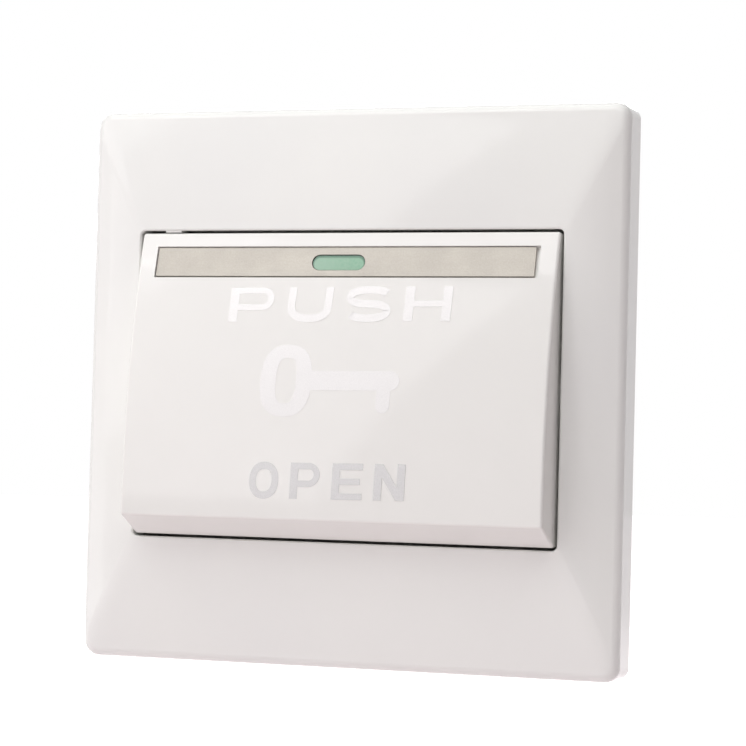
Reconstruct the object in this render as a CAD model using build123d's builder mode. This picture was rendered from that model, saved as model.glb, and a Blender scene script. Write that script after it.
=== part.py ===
"""Momentary door release button on a square wall plate.

A square cover frame snaps over a mounting plate. A wedge shaped rocker, hinged near its
upper edge, is pushed in at its lower edge and returns by a coil spring. It drives a plunger
that carries a contact bridge onto two brass terminals in a housing behind the wall plane.

Millimetres. +X right, +Z up, +Y into the wall. The origin is the middle of the plate on the
wall plane. A height is a distance in front of the wall plane, so it runs along -Y. A depth
is a distance behind the wall plane, so it runs along +Y.
"""

import os
from math import asin, atan2, cos, hypot, radians, sin

from build123d import *

# Wall plate and its cover frame
plate_size = 86.0
plate_corner = 2.5
foot_corner = 1.8
frame_wall = 1.8
rim_height = 7.4
rim_round = 1.7
edge_slack = 0.01
face_height = 10.05
crown = 0.65
crown_steps = 3
side_border = 9.1
end_border = 19.2
opening_corner = 0.8
opening_lip = 0.3
opening_bevel = 0.2
nib_x = -28.5
nib_width = 2.6
nib_reach = 0.28
nib_sunk = 0.3
collar_wall = 1.4
collar_foot = 6.3
pry_width = 8.0
pry_height = 1.3

# Snap clips that hold the cover frame on the mounting plate
clip_x = 24.0
clip_inset = 6.0
clip_width = 6.0
clip_thick = 1.4
clip_barb = 0.9
barb_lead = 0.75
clip_foot = 0.25
clip_slack = 0.35
catch_height = 1.5
snap_gap = 0.1

# Mounting plate
slab_thick = 2.6
slab_gap = 0.4
slab_corner = 1.6
upstand_wall = 1.2
upstand_height = 4.6
stiffener_height = 4.2
stiffener_thick = 1.2
stiffener_above = 6.2
stiffener_beside = 1.7
short_stiffener_x = 12.0
screw_spacing = 60.0
slot_radius = 2.1
slot_length = 7.0
head_seat_radius = 4.4
head_seat_depth = 1.1

# Rocker
side_gap = 0.35
top_gap = 0.45
bottom_gap = 0.45
rocker_wall = 1.8
rocker_draft = 2.0
ridge_height = 16.7
ridge_inset = 3.5
face_bulge = 1.7
edge_round = 0.4
rib_thick = 1.2
rib_drop = 2.0
long_rib_x = 15.0
cross_rib_pitch = 16.0
cross_rib_count = 2
pusher_half = 3.0
nose_rise = 0.6

# Hinge
pivot_inset = 5.2
lug_floor_gap = 0.2
press_angle = 4.5
pin_radius = 1.2
pin_clearance = 0.05
pin_length = 2.0
lug_radius = 1.5
lug_half = 2.8
lug_root = 0.6
ear_thick = 2.4
ear_below = 4.0
ear_above = 4.6
ear_gap = 0.35
snap_mouth = 1.9
guide_inset = 0.3
guide_long = 7.3

# Rocker hooks that hold the rocker at rest
hook_x = 22.0
hook_width = 5.0
hook_thick = 1.3
hook_above_ridge = 0.2
hook_root_depth = 3.0
hook_swing = 1.0

# Metallic strip and luminous indicator
strip_margin = 2.9
strip_recess_tall = 5.1
strip_recess_depth = 0.9
strip_from_top = 4.55
strip_gap = 0.12
strip_end_gap = 0.75
strip_foot_gap = 0.35
strip_thick = 0.6
lens_offset = -0.8
lens_length = 8.3
lens_tall = 2.35
lens_fit = 0.1
lens_sunk = 0.15
lens_flange = 0.8
lens_flange_thick = 0.7
pad_margin = 2.0
pad_thick = 1.0

# Plunger and contacts
stem_side = 8.0
stem_gap = 0.15
stem_tip = 7.05
stem_round = 0.8
sleeve_wall = 1.8
sleeve_height = 4.9
push_gap = 0.1
shoulder_side = 13.0
shoulder_thick = 1.7
shoulder_gap = 0.1
block_width = 9.0
block_depth = 10.2
cage_front = 3.2
cage_wall = 1.4
bridge_end = 2.0
bridge_width = 5.0
bridge_thick = 0.8
bridge_gap = 0.1
rivet_radius = 1.6
rivet_head = 0.7
rivet_shank = 0.8
rivet_fit = 0.02
contact_overtravel_gap = 0.06

# Springs
return_coil_radius = 2.9
return_wire = 0.3
return_turns = 4.0
contact_coil_radius = 1.9
contact_wire = 0.2
contact_turns = 3.0
spring_seat_gap = 0.02
spring_pip_gap = 0.25
return_pip_length = 1.5
wire_sides = 5
contact_pip_length = 1.0

# Housing behind the wall plane
post_wide = 1.4
housing_half_tall = 12.2
housing_wall = 1.2
housing_floor = 1.5
shelf_thick = 1.5
housing_corner = 0.8
housing_edge = 0.5
chamber_depth = 17.5
strip_level = 11.2
flange_margin = 1.4
flange_thick = 1.6
flange_corner = 2.0
tab_gap = 0.4
tab_radius = 3.6
barrier_thick = 1.3
barrier_gap = 0.95
barrier_depth = 16.6
wire_notch_radius = 2.4
wire_notch_depth = 13.9

# Brass terminals, clamp washers and screws
terminal_inner_gap = 1.1
terminal_tongue_half = 2.4
terminal_thick = 1.0
terminal_lip = 1.6
terminal_lip_thick = 0.8
terminal_slot_gap = 0.06
terminal_end_gap = 0.3
clamp_margin = 0.75
clamp_side = 6.4
clamp_gap = 0.25
clamp_thick = 0.9
clamp_corner = 0.8
terminal_screw_radius = 1.45
terminal_screw_head = 2.8
terminal_screw_head_thick = 2.2
terminal_screw_length = 4.7
thread_clearance = 0.05
shelf_hole_gap = 0.35
housing_screw_radius = 1.05
housing_screw_head = 2.3
housing_screw_head_thick = 1.6
housing_screw_reach = 4.0
boss_radius = 2.9
boss_height = 4.9
boss_floor = 0.7
drive_width = 0.8
drive_share = 1.15
drive_depth = 0.9

# Values worked out from the sizes above
inner_size = plate_size - 2 * frame_wall
slab_size = inner_size - 2 * slab_gap
upstand_inner = slab_size - 2 * upstand_wall
opening_width = plate_size - 2 * side_border
opening_tall = plate_size - 2 * end_border
opening_low = -opening_tall / 2
clip_z = plate_size / 2 - clip_inset
stiffener_z = opening_tall / 2 + stiffener_above
stiffener_x = opening_width / 2 + ear_thick + stiffener_beside
ear_x = opening_width / 2
ear_height = collar_foot - ear_gap
guide_low = opening_low + guide_inset
guide_high = guide_low + guide_long
pivot_height = slab_thick + lug_radius + lug_floor_gap
pivot_z = opening_tall / 2 - pivot_inset
rocker_foot = collar_foot
rocker_half = opening_width / 2 - side_gap
rocker_top = opening_tall / 2 - top_gap
rocker_bottom = opening_low + bottom_gap
ridge_z = opening_low + ridge_inset
hook_z = ridge_z + hook_above_ridge
face_run = rocker_top - ridge_z
face_rise = ridge_height - face_height
face_tilt = atan2(face_rise, face_run)
face_long = hypot(face_run, face_rise)
face_radius = (face_long**2 / 4 + face_bulge**2) / (2 * face_bulge)
face_centre_z = (rocker_top + ridge_z) / 2 + (face_bulge - face_radius) * sin(face_tilt)
face_centre_height = (face_height + ridge_height) / 2 + (face_bulge - face_radius) * cos(face_tilt)
strip_z = rocker_top - strip_from_top
strip_tilt = asin((strip_z - face_centre_z) / face_radius)
strip_recess_width = 2 * (rocker_half - strip_margin)
strip_width = strip_recess_width - strip_gap - strip_end_gap
strip_tall = strip_recess_tall - strip_gap - strip_foot_gap
plunger_travel = radians(press_angle) * pivot_z
contact_x = block_width / 2 + terminal_inner_gap + terminal_tongue_half
bridge_half = contact_x + bridge_end
terminal_inner = contact_x - terminal_tongue_half
terminal_rear = strip_level + terminal_thick
contact_rest_gap = plunger_travel + contact_overtravel_gap
bridge_rear = strip_level - 2 * rivet_head - contact_rest_gap
clamp_rear = terminal_rear + clamp_thick
tower_half = contact_x + rivet_radius + post_wide + housing_wall
terminal_pad_half = clamp_side / 2 + clamp_gap + terminal_lip_thick
terminal_pad_long = clamp_side + 2 * clamp_margin
pad_start = tower_half + terminal_end_gap
terminal_outer = pad_start + terminal_pad_long
wing_half = terminal_outer + terminal_end_gap + barrier_thick
clamp_x = (pad_start + terminal_outer) / 2
barrier_inner = terminal_pad_half + barrier_gap
tab_z = housing_half_tall + housing_screw_head + tab_gap


def front(height):
    """The plane parallel to the wall at a height in front of it, X right and Z up."""
    return Plane.XZ.offset(height)


def behind(depth):
    """The plane parallel to the wall at a depth behind it, X right and Z up."""
    return Plane.XZ.offset(-depth)


def side(x):
    """The plane across the plate at x, drawn as (Y, Z)."""
    return Plane.YZ.offset(x)


def face_level(z):
    """Height of the rocker's bulging face at z."""
    return face_centre_height + (face_radius**2 - (z - face_centre_z) ** 2) ** 0.5


def sloping(height, z, tilt):
    """The plane through a height and z that leans back by a tilt, local Y up the slope."""
    return Plane(origin=(0, -height, z), x_dir=(1, 0, 0), z_dir=(0, -cos(tilt), sin(tilt)))


# The chord of the rocker's face, from its lower ridge, and the plane that touches it at the strip
rocker_chord = sloping(ridge_height, ridge_z, face_tilt)
strip_seat = sloping(face_level(strip_z), strip_z, strip_tilt)

# Outline of the rocker's wedge as (Y, Z), drawn down to the wall plane
with BuildLine() as wedge_outline:
    face_middle_z = (rocker_top + ridge_z) / 2
    ThreePointArc(
        (-face_height, rocker_top),
        (-face_level(face_middle_z), face_middle_z),
        (-ridge_height, ridge_z),
    )
    Polyline(
        (-ridge_height, ridge_z),
        (-face_height, rocker_bottom),
        (0, rocker_bottom),
        (0, rocker_top),
        (-face_height, rocker_top),
    )


def crown_height(share):
    """Height of the frame's crowned front, from 0 at the rim to 1 at the opening's lip."""
    return rim_height + (face_height - rim_height) * ((1 + crown) * share - crown * share**2)


def crown_outline(share, inset, lip):
    """Width, height and corner radius of the frame's outline at a share of the crown."""
    outer = plate_size - 2 * inset
    width = outer + (opening_width + 2 * lip - outer) * share
    tall = outer + (opening_tall + 2 * lip - outer) * share
    return width, tall, plate_corner + (opening_corner + lip - plate_corner) * share


def barbed_hook(root, foot, middle, thick, way):
    """Outline of a snap hook as (Y, Z) points: a shank with one barb that points along way."""
    catch = catch_height - snap_gap
    inner = middle - way * thick / 2
    outer = middle + way * thick / 2
    return [
        (-root, inner),
        (-foot, inner),
        (-foot, outer),
        (-foot - (catch - foot) * barb_lead, outer + way * clip_barb),
        (-catch, outer + way * clip_barb),
        (-catch, outer),
        (-root, outer),
    ]


# Space inside the cover frame, left open to the wall, with the collar round the opening kept
with BuildPart() as frame_cavity:
    with BuildSketch(front(0)):
        Rectangle(inner_size, inner_size)
    extrude(amount=rim_height - frame_wall)
    for step in range(crown_steps + 1):
        share = step / crown_steps
        with BuildSketch(front(crown_height(share) - frame_wall)):
            Rectangle(*crown_outline(share, frame_wall, collar_wall)[:2])
    loft()
    with BuildSketch(front(collar_foot)):
        Rectangle(opening_width + 2 * collar_wall, opening_tall + 2 * collar_wall)
    extrude(amount=face_height, mode=Mode.SUBTRACT)

# Cover frame: side walls, crowned front, collar, snap clips and a notch to lever it off
with BuildPart() as outer_frame:
    with BuildSketch(front(0)):
        RectangleRounded(plate_size, plate_size, foot_corner)
    with BuildSketch(front(rim_height)):
        RectangleRounded(plate_size, plate_size, plate_corner)
    loft()
    for step in range(crown_steps + 1):
        share = step / crown_steps
        with BuildSketch(front(crown_height(share))):
            RectangleRounded(*crown_outline(share, 0, opening_lip))
    loft()
    rim_edges = outer_frame.edges().filter_by_position(
        Axis.Y, -rim_height - edge_slack, -rim_height + edge_slack
    )
    fillet(rim_edges, rim_round)
    add(frame_cavity.part, mode=Mode.SUBTRACT)
    with BuildSketch(front(0)):
        RectangleRounded(opening_width, opening_tall, opening_corner)
    extrude(amount=2 * face_height, mode=Mode.SUBTRACT)
    opening_edges = outer_frame.edges(Select.LAST).group_by(Axis.Y)[0]
    chamfer(opening_edges, opening_bevel)
    for way in (1, -1):
        for clip_middle in (-clip_x, clip_x):
            with BuildSketch(side(clip_middle - clip_width / 2)):
                with BuildLine():
                    Polyline(
                        *barbed_hook(rim_height - frame_wall / 2, clip_foot, way * clip_z, clip_thick, way),
                        close=True,
                    )
                make_face()
            extrude(amount=clip_width)
    with Locations((0, 0, -plate_size / 2)):
        Box(pry_width, 2 * pry_height, 3 * frame_wall, mode=Mode.SUBTRACT)
    # Nib that keeps the rocker's top edge off the collar
    with BuildSketch(front(collar_foot)):
        with Locations((nib_x, opening_tall / 2)):
            Rectangle(nib_width, 2 * nib_reach)
    extrude(amount=face_height - nib_sunk - collar_foot)
outer_frame.part.label = "outer_frame"

# Mounting plate: slab with an upstand, hinge ears, rocker guides, plunger sleeve and windows
with BuildPart() as mounting_plate:
    with BuildSketch(front(0)):
        RectangleRounded(slab_size, slab_size, slab_corner)
    extrude(amount=upstand_height)
    with BuildSketch(front(slab_thick)):
        RectangleRounded(upstand_inner, upstand_inner, slab_corner - upstand_wall / 2)
    extrude(amount=upstand_height, mode=Mode.SUBTRACT)
    # Stiffeners between the upstand and the rocker's opening
    with BuildSketch(front(slab_thick)):
        with Locations((0, stiffener_z), (0, -stiffener_z)):
            Rectangle(upstand_inner, stiffener_thick)
        with Locations((stiffener_x, 0), (-stiffener_x, 0)):
            Rectangle(stiffener_thick, 2 * stiffener_z)
        with GridLocations(2 * short_stiffener_x, upstand_inner / 2 + stiffener_z, 2, 2):
            Rectangle(stiffener_thick, upstand_inner / 2 - stiffener_z)
    extrude(amount=stiffener_height - slab_thick)
    # Plunger sleeve and the two bosses that take the housing screws
    with BuildSketch(front(slab_thick)):
        sleeve_side = stem_side + 2 * (stem_gap + sleeve_wall)
        RectangleRounded(sleeve_side, sleeve_side, sleeve_wall)
    extrude(amount=sleeve_height - slab_thick)
    with BuildSketch(front(slab_thick)):
        with Locations((0, tab_z), (0, -tab_z)):
            Circle(boss_radius)
    extrude(amount=boss_height - slab_thick)
    with BuildSketch(front(0)):
        Rectangle(stem_side + 2 * stem_gap, stem_side + 2 * stem_gap)
    extrude(amount=sleeve_height, mode=Mode.SUBTRACT)
    with BuildSketch(front(0)):
        with Locations((0, tab_z), (0, -tab_z)):
            Circle(housing_screw_radius + thread_clearance)
    extrude(amount=boss_height - boss_floor, mode=Mode.SUBTRACT)
    # Hinge ears with a snap mouth above, and plain guides below
    for ear_start in (ear_x, -ear_x - ear_thick):
        with BuildSketch(side(ear_start)):
            with Locations((-(slab_thick + ear_height) / 2, pivot_z + (ear_above - ear_below) / 2)):
                Rectangle(ear_height - slab_thick, ear_above + ear_below)
            with Locations((-(slab_thick + ear_height) / 2, (guide_low + guide_high) / 2)):
                Rectangle(ear_height - slab_thick, guide_high - guide_low)
            with Locations((-pivot_height, pivot_z)):
                Circle(pin_radius + pin_clearance, mode=Mode.SUBTRACT)
            with Locations((-ear_height, pivot_z)):
                Rectangle(2 * (ear_height - pivot_height), snap_mouth, mode=Mode.SUBTRACT)
        extrude(amount=ear_thick)
    # Slots for the wall screws, with a sunk seat for each head
    with BuildSketch(front(0)):
        with Locations((screw_spacing / 2, 0), (-screw_spacing / 2, 0)):
            SlotOverall(slot_length, 2 * slot_radius)
    extrude(amount=slab_thick, mode=Mode.SUBTRACT)
    with BuildSketch(front(slab_thick - head_seat_depth)):
        with Locations((screw_spacing / 2, 0), (-screw_spacing / 2, 0)):
            SlotOverall(slot_length + 2 * (head_seat_radius - slot_radius), 2 * head_seat_radius)
    extrude(amount=head_seat_depth, mode=Mode.SUBTRACT)
    # Stepped windows: the frame's clips catch above and below, the rocker's hooks catch below
    for middle_z, way, window_x, width, thick, slack in (
        (clip_z, 1, clip_x, clip_width, clip_thick, clip_barb + clip_slack),
        (-clip_z, -1, clip_x, clip_width, clip_thick, clip_barb + clip_slack),
        (hook_z, -1, hook_x, hook_width, hook_thick, hook_swing),
    ):
        inner = middle_z - way * (thick / 2 + slack)
        catch = middle_z + way * (thick / 2 + clip_slack)
        pocket = middle_z + way * (thick / 2 + clip_barb + clip_slack)
        with BuildSketch(front(0)):
            with Locations((window_x, (inner + catch) / 2), (-window_x, (inner + catch) / 2)):
                Rectangle(width + 2 * clip_slack, abs(catch - inner))
        extrude(amount=slab_thick, mode=Mode.SUBTRACT)
        with BuildSketch(front(0)):
            with Locations((window_x, (inner + pocket) / 2), (-window_x, (inner + pocket) / 2)):
                Rectangle(width + 2 * clip_slack, abs(pocket - inner))
        extrude(amount=catch_height, mode=Mode.SUBTRACT)
mounting_plate.part.label = "mounting_plate"

# Hollow inside the rocker: the wedge moved in by the wall, less its ribs and the indicator's pad
with BuildPart() as rocker_hollow:
    with BuildSketch(side(-rocker_half + rocker_wall)):
        add(wedge_outline.line)
        make_face()
        offset(amount=-rocker_wall, kind=Kind.INTERSECTION, mode=Mode.REPLACE)
    extrude(amount=2 * (rocker_half - rocker_wall))
    with BuildSketch(rocker_chord.offset(-rocker_wall - rib_drop)):
        with Locations((long_rib_x, face_long / 2), (-long_rib_x, face_long / 2)):
            Rectangle(rib_thick, 2 * face_long)
        with GridLocations(0, cross_rib_pitch, 1, cross_rib_count):
            with Locations((0, face_long / 2)):
                Rectangle(2 * long_rib_x, rib_thick)
    extrude(amount=rocker_wall + rib_drop + face_bulge, mode=Mode.SUBTRACT)
    with BuildSketch(strip_seat.offset(-rocker_wall - pad_thick)):
        with Locations((lens_offset, 0)):
            Rectangle(lens_length + 2 * pad_margin, lens_tall + 2 * pad_margin)
    extrude(amount=rocker_wall + pad_thick, mode=Mode.SUBTRACT)

# The rocker's drafted plan, which trims the ends of its wedge
with BuildPart() as rocker_plan:
    with BuildSketch(front(rocker_foot)):
        Rectangle(2 * rocker_half, plate_size)
    extrude(amount=ridge_height, taper=rocker_draft)

# Rocker: a hollow wedge with its strip recess, pusher, hinge lugs with pins, and hooks
with BuildPart() as rocker_button:
    with BuildSketch(side(-rocker_half)):
        add(wedge_outline.line)
        make_face()
    extrude(amount=2 * rocker_half)
    add(rocker_plan.part, mode=Mode.INTERSECT)
    standing = rocker_button.edges().filter_by_position(
        Axis.Y, -2 * ridge_height, -rocker_foot, (True, False)
    )
    fillet(standing, edge_round)
    add(rocker_hollow.part, mode=Mode.SUBTRACT)
    # Recess for the strip, and the deeper pocket for the flange of the indicator
    with BuildSketch(strip_seat.offset(face_bulge)):
        Rectangle(strip_recess_width, strip_recess_tall)
    extrude(amount=-face_bulge - strip_recess_depth, mode=Mode.SUBTRACT)
    with BuildSketch(strip_seat.offset(-strip_recess_depth)):
        with Locations((lens_offset, 0)):
            flange_tall = lens_tall + 2 * (lens_flange + lens_fit)
            SlotOverall(lens_length + 2 * (lens_flange + lens_fit), flange_tall)
    extrude(amount=-lens_flange_thick - lens_fit, mode=Mode.SUBTRACT)
    # Pusher with a nose rounded about the hinge's direction, which rolls on the plunger
    with BuildSketch(side(-pusher_half)):
        with BuildLine():
            pusher_tip = stem_tip + push_gap
            pusher_root = (face_level(pusher_half) + face_level(-pusher_half) - rocker_wall) / 2
            nose_edge = pusher_tip + nose_rise
            ThreePointArc((-nose_edge, -pusher_half), (-pusher_tip, 0), (-nose_edge, pusher_half))
            Polyline(
                (-nose_edge, pusher_half),
                (-pusher_root, pusher_half),
                (-pusher_root, -pusher_half),
                (-nose_edge, -pusher_half),
            )
        make_face()
    extrude(amount=2 * pusher_half)
    # Hinge lugs under the two side walls, each with its pin
    for way in (1, -1):
        with BuildSketch(side(way * rocker_half)):
            with Locations((-pivot_height, pivot_z)):
                Circle(lug_radius)
            with Locations((-rocker_foot - lug_root / 2, pivot_z)):
                Rectangle(lug_root, 2 * lug_half)
            make_hull()
        extrude(amount=-way * rocker_wall)
        with BuildSketch(side(way * (rocker_half - rocker_wall / 2))):
            with Locations((-pivot_height, pivot_z)):
                Circle(pin_radius)
        extrude(amount=way * (rocker_wall / 2 + pin_length))
    # Hooks near the lower edge that catch in the mounting plate's stepped windows
    for hook_middle in (-hook_x, hook_x):
        with BuildSketch(side(hook_middle - hook_width / 2)):
            with BuildLine():
                Polyline(
                    *barbed_hook(ridge_height - hook_root_depth, clip_foot, hook_z, hook_thick, -1),
                    close=True,
                )
            make_face()
        extrude(amount=hook_width)
rocker_button.part.label = "rocker_button"

# Metallic strip, open at the indicator
with BuildPart() as accent_strip:
    with BuildSketch(strip_seat.offset(-strip_recess_depth)):
        with Locations(((strip_gap - strip_end_gap) / 2, (strip_foot_gap - strip_gap) / 2)):
            Rectangle(strip_width, strip_tall)
        with Locations((lens_offset, 0)):
            SlotOverall(lens_length + 2 * lens_fit, lens_tall + 2 * lens_fit, mode=Mode.SUBTRACT)
    extrude(amount=strip_thick)
accent_strip.part.label = "accent_strip"

# Luminous indicator with a flange under the strip
with BuildPart() as indicator_lens:
    with BuildSketch(strip_seat.offset(-strip_recess_depth - lens_flange_thick)):
        with Locations((lens_offset, 0)):
            SlotOverall(lens_length + 2 * lens_flange, lens_tall + 2 * lens_flange)
    extrude(amount=lens_flange_thick)
    with BuildSketch(strip_seat.offset(-strip_recess_depth)):
        with Locations((lens_offset, 0)):
            SlotOverall(lens_length, lens_tall)
    extrude(amount=strip_thick - lens_sunk)
indicator_lens.part.label = "indicator_lens"

# Plunger: square stem, stop shoulder and a cage that holds the contact bridge
with BuildPart() as plunger:
    cage_rear = bridge_rear + bridge_gap
    cage_half = bridge_width / 2 + bridge_gap
    with BuildSketch(behind(shoulder_gap)):
        Rectangle(stem_side, stem_side)
    extrude(amount=stem_tip + shoulder_gap)
    fillet(plunger.faces().sort_by(Axis.Y)[0].edges(), stem_round)
    with BuildSketch(behind(shoulder_gap)):
        RectangleRounded(shoulder_side, shoulder_side, stem_round)
    extrude(amount=-shoulder_thick)
    with BuildSketch(behind(shoulder_gap + shoulder_thick)):
        Rectangle(block_width, 2 * (cage_half + cage_wall))
    extrude(amount=-(block_depth - shoulder_gap - shoulder_thick))
    with BuildSketch(behind(cage_front)):
        Rectangle(2 * block_width, 2 * cage_half)
    extrude(amount=-(cage_rear - cage_front), mode=Mode.SUBTRACT)
    with BuildSketch(behind(cage_front)):
        Circle(contact_coil_radius - contact_wire - spring_pip_gap)
    extrude(amount=-contact_pip_length)
    with BuildSketch(behind(block_depth)):
        Circle(return_coil_radius - return_wire - spring_pip_gap)
    extrude(amount=-return_pip_length)
plunger.part.label = "plunger"

# Contact bridge: a flat bar with round ends, pierced for its two contacts
with BuildPart() as contact_bridge:
    with BuildSketch(behind(bridge_rear)):
        SlotOverall(2 * bridge_half, bridge_width)
        with Locations((contact_x, 0), (-contact_x, 0)):
            Circle(rivet_shank + rivet_fit, mode=Mode.SUBTRACT)
    extrude(amount=bridge_thick)
contact_bridge.part.label = "contact_bridge"


def contact_outline(x, seat, way, grip):
    """Half section of a contact at x: head on the seat's way side, shank pressed through the grip."""
    top = seat + way * rivet_head
    end = seat - way * grip
    return [
        (x, top),
        (x + rivet_radius, top),
        (x + rivet_radius, seat),
        (x + rivet_shank, seat),
        (x + rivet_shank, end),
        (x, end),
    ]


# Contacts pressed into the bridge face the wall box, and those on the terminals face the bridge
contact_seats = {
    "moving_contact": (bridge_rear, 1, bridge_thick),
    "fixed_contact": (strip_level, -1, terminal_thick),
}
contacts = {}
for kind, (seat, way, grip) in contact_seats.items():
    for hand, x in (("left", -contact_x), ("right", contact_x)):
        with BuildPart() as contact:
            with BuildSketch(Plane.XY):
                with BuildLine():
                    Polyline(*contact_outline(x, seat, way, grip), close=True)
                make_face()
            revolve(axis=Axis((x, 0, 0), (0, 1, 0)))
        contact.part.label = f"{kind}_{hand}"
        contacts[contact.part.label] = contact.part


def coil_path(radius, turns, low, high):
    """Helix about the plunger's axis between two depths."""
    long = high - low
    return Helix(pitch=long / turns, height=long, radius=radius, center=(0, low, 0), direction=(0, 1, 0))


# Return spring between the housing's floor and the plunger
with BuildPart() as return_spring:
    with BuildLine():
        return_low = block_depth + return_wire + spring_seat_gap
        return_high = chamber_depth - return_wire - spring_seat_gap
        return_path = coil_path(return_coil_radius, return_turns, return_low, return_high)
    with BuildSketch(Plane(origin=return_path @ 0, z_dir=return_path % 0)):
        RegularPolygon(return_wire, wire_sides)
    sweep(path=return_path, is_frenet=True)
return_spring.part.label = "return_spring"

# Contact spring in the plunger's cage, behind the bridge
with BuildPart() as contact_spring:
    with BuildLine():
        contact_low = cage_front + contact_wire + spring_seat_gap
        contact_high = bridge_rear - bridge_thick - contact_wire - spring_seat_gap
        contact_path = coil_path(contact_coil_radius, contact_turns, contact_low, contact_high)
    with BuildSketch(Plane(origin=contact_path @ 0, z_dir=contact_path % 0)):
        RegularPolygon(contact_wire, wire_sides)
    sweep(path=contact_path, is_frenet=True)
contact_spring.part.label = "contact_spring"

# Switch housing: flange with two screw tabs, tower for the plunger, and two terminal wings
with BuildPart() as switch_housing:
    with BuildSketch(front(0)):
        flange_half_tall = housing_half_tall + flange_margin
        RectangleRounded(2 * (wing_half + flange_margin), 2 * flange_half_tall, flange_corner)
        with Locations((0, tab_z), (0, -tab_z)):
            Circle(tab_radius)
    extrude(amount=-flange_thick)
    with BuildSketch(front(0)):
        RectangleRounded(2 * wing_half, 2 * housing_half_tall, housing_corner)
    extrude(amount=-strip_level)
    with BuildSketch(front(0)):
        RectangleRounded(2 * tower_half, 2 * housing_half_tall, housing_corner)
    extrude(amount=-chamber_depth - housing_floor)
    chamfer(switch_housing.faces().sort_by(Axis.Y)[-1].edges(), housing_edge)
    # Barriers round each terminal, with a notch for the wire in the end wall
    with BuildSketch(behind(strip_level)):
        for way in (1, -1):
            barrier_middle = way * (tower_half + wing_half) / 2
            with Locations((barrier_middle, barrier_inner + barrier_thick / 2)):
                Rectangle(wing_half - tower_half, barrier_thick)
            with Locations((barrier_middle, -barrier_inner - barrier_thick / 2)):
                Rectangle(wing_half - tower_half, barrier_thick)
            with Locations((way * (wing_half - barrier_thick / 2), 0)):
                Rectangle(barrier_thick, 2 * barrier_inner)
    extrude(amount=strip_level - barrier_depth)
    for way in (1, -1):
        with BuildSketch(side(way * wing_half)):
            with Locations((wire_notch_depth, 0)):
                Circle(wire_notch_radius)
            with Locations((wire_notch_depth + wire_notch_radius, 0)):
                Rectangle(2 * wire_notch_radius, 2 * wire_notch_radius)
        extrude(amount=-way * barrier_thick, mode=Mode.SUBTRACT)
    # The chamber, open to the mounting plate, and the wings' hollows in front of their shelves
    with BuildSketch(front(0)):
        Rectangle(2 * (wing_half - housing_wall), 2 * (housing_half_tall - housing_wall))
    extrude(amount=shelf_thick - strip_level, mode=Mode.SUBTRACT)
    with BuildSketch(front(0)):
        Rectangle(2 * (tower_half - housing_wall), 2 * (housing_half_tall - housing_wall))
    extrude(amount=-chamber_depth, mode=Mode.SUBTRACT)
    # Slots for the terminals' tongues, the posts behind them, and the holes in the shelves
    with BuildSketch(behind(strip_level)):
        Rectangle(2 * tower_half, 2 * (terminal_tongue_half + terminal_slot_gap))
    extrude(amount=-terminal_thick - terminal_slot_gap, mode=Mode.SUBTRACT)
    with BuildSketch(behind(terminal_rear + terminal_slot_gap)):
        post_x = tower_half - housing_wall - post_wide / 2
        with Locations((post_x, 0), (-post_x, 0)):
            Rectangle(post_wide, 2 * terminal_tongue_half)
    extrude(amount=terminal_rear + terminal_slot_gap - chamber_depth)
    with BuildSketch(front(0)):
        with Locations((clamp_x, 0), (-clamp_x, 0)):
            Circle(terminal_screw_radius + shelf_hole_gap)
        with Locations((0, tab_z), (0, -tab_z)):
            Circle(housing_screw_radius + shelf_hole_gap)
    extrude(amount=-strip_level, mode=Mode.SUBTRACT)
    # Pip that centres the return spring
    with BuildSketch(behind(chamber_depth)):
        Circle(return_coil_radius - return_wire - spring_pip_gap)
    extrude(amount=return_pip_length)
switch_housing.part.label = "switch_housing"

# Brass terminals: a tongue through the tower wall, and a pad with two lips that stop the washer
terminals = {}
for name, way in (("terminal_common", -1), ("terminal_open", 1)):
    with BuildPart() as terminal:
        with BuildSketch(behind(strip_level)):
            with Locations((way * (terminal_inner + pad_start) / 2, 0)):
                Rectangle(pad_start - terminal_inner, 2 * terminal_tongue_half)
            with Locations((way * (pad_start + terminal_outer) / 2, 0)):
                Rectangle(terminal_outer - pad_start, 2 * terminal_pad_half)
            with Locations((way * contact_x, 0)):
                Circle(rivet_shank + rivet_fit, mode=Mode.SUBTRACT)
            with Locations((way * clamp_x, 0)):
                Circle(terminal_screw_radius + thread_clearance, mode=Mode.SUBTRACT)
        extrude(amount=-terminal_thick)
        with BuildSketch(behind(terminal_rear)):
            lip_z = terminal_pad_half - terminal_lip_thick / 2
            with Locations((way * clamp_x, lip_z), (way * clamp_x, -lip_z)):
                Rectangle(clamp_side, terminal_lip_thick)
        extrude(amount=-terminal_lip)
    terminal.part.label = name
    terminals[name] = terminal.part

# Clamp washers and terminal screws, one to each terminal
clamps = {}
for name, x in (("clamp_washer_left", -clamp_x), ("clamp_washer_right", clamp_x)):
    with BuildPart() as clamp_washer:
        with BuildSketch(behind(terminal_rear)):
            with Locations((x, 0)):
                RectangleRounded(clamp_side, clamp_side, clamp_corner)
                Circle(terminal_screw_radius + clamp_gap, mode=Mode.SUBTRACT)
        extrude(amount=-clamp_thick)
    clamp_washer.part.label = name
    clamps[name] = clamp_washer.part


def screw(x, z, seat, shank_radius, shank_length, head_radius, head_thick):
    """A screw driven from behind: its head's underside at a depth, a cross recess in the head."""
    with BuildPart() as made:
        with BuildSketch(behind(seat)):
            with Locations((x, z)):
                Circle(head_radius)
        extrude(amount=-head_thick)
        with BuildSketch(behind(seat)):
            with Locations((x, z)):
                Circle(shank_radius)
        extrude(amount=shank_length)
        with BuildSketch(behind(seat + head_thick)):
            with Locations((x, z)):
                Rectangle(drive_width, drive_share * head_radius)
                Rectangle(drive_share * head_radius, drive_width)
        extrude(amount=drive_depth, mode=Mode.SUBTRACT)
    return made.part


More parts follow.
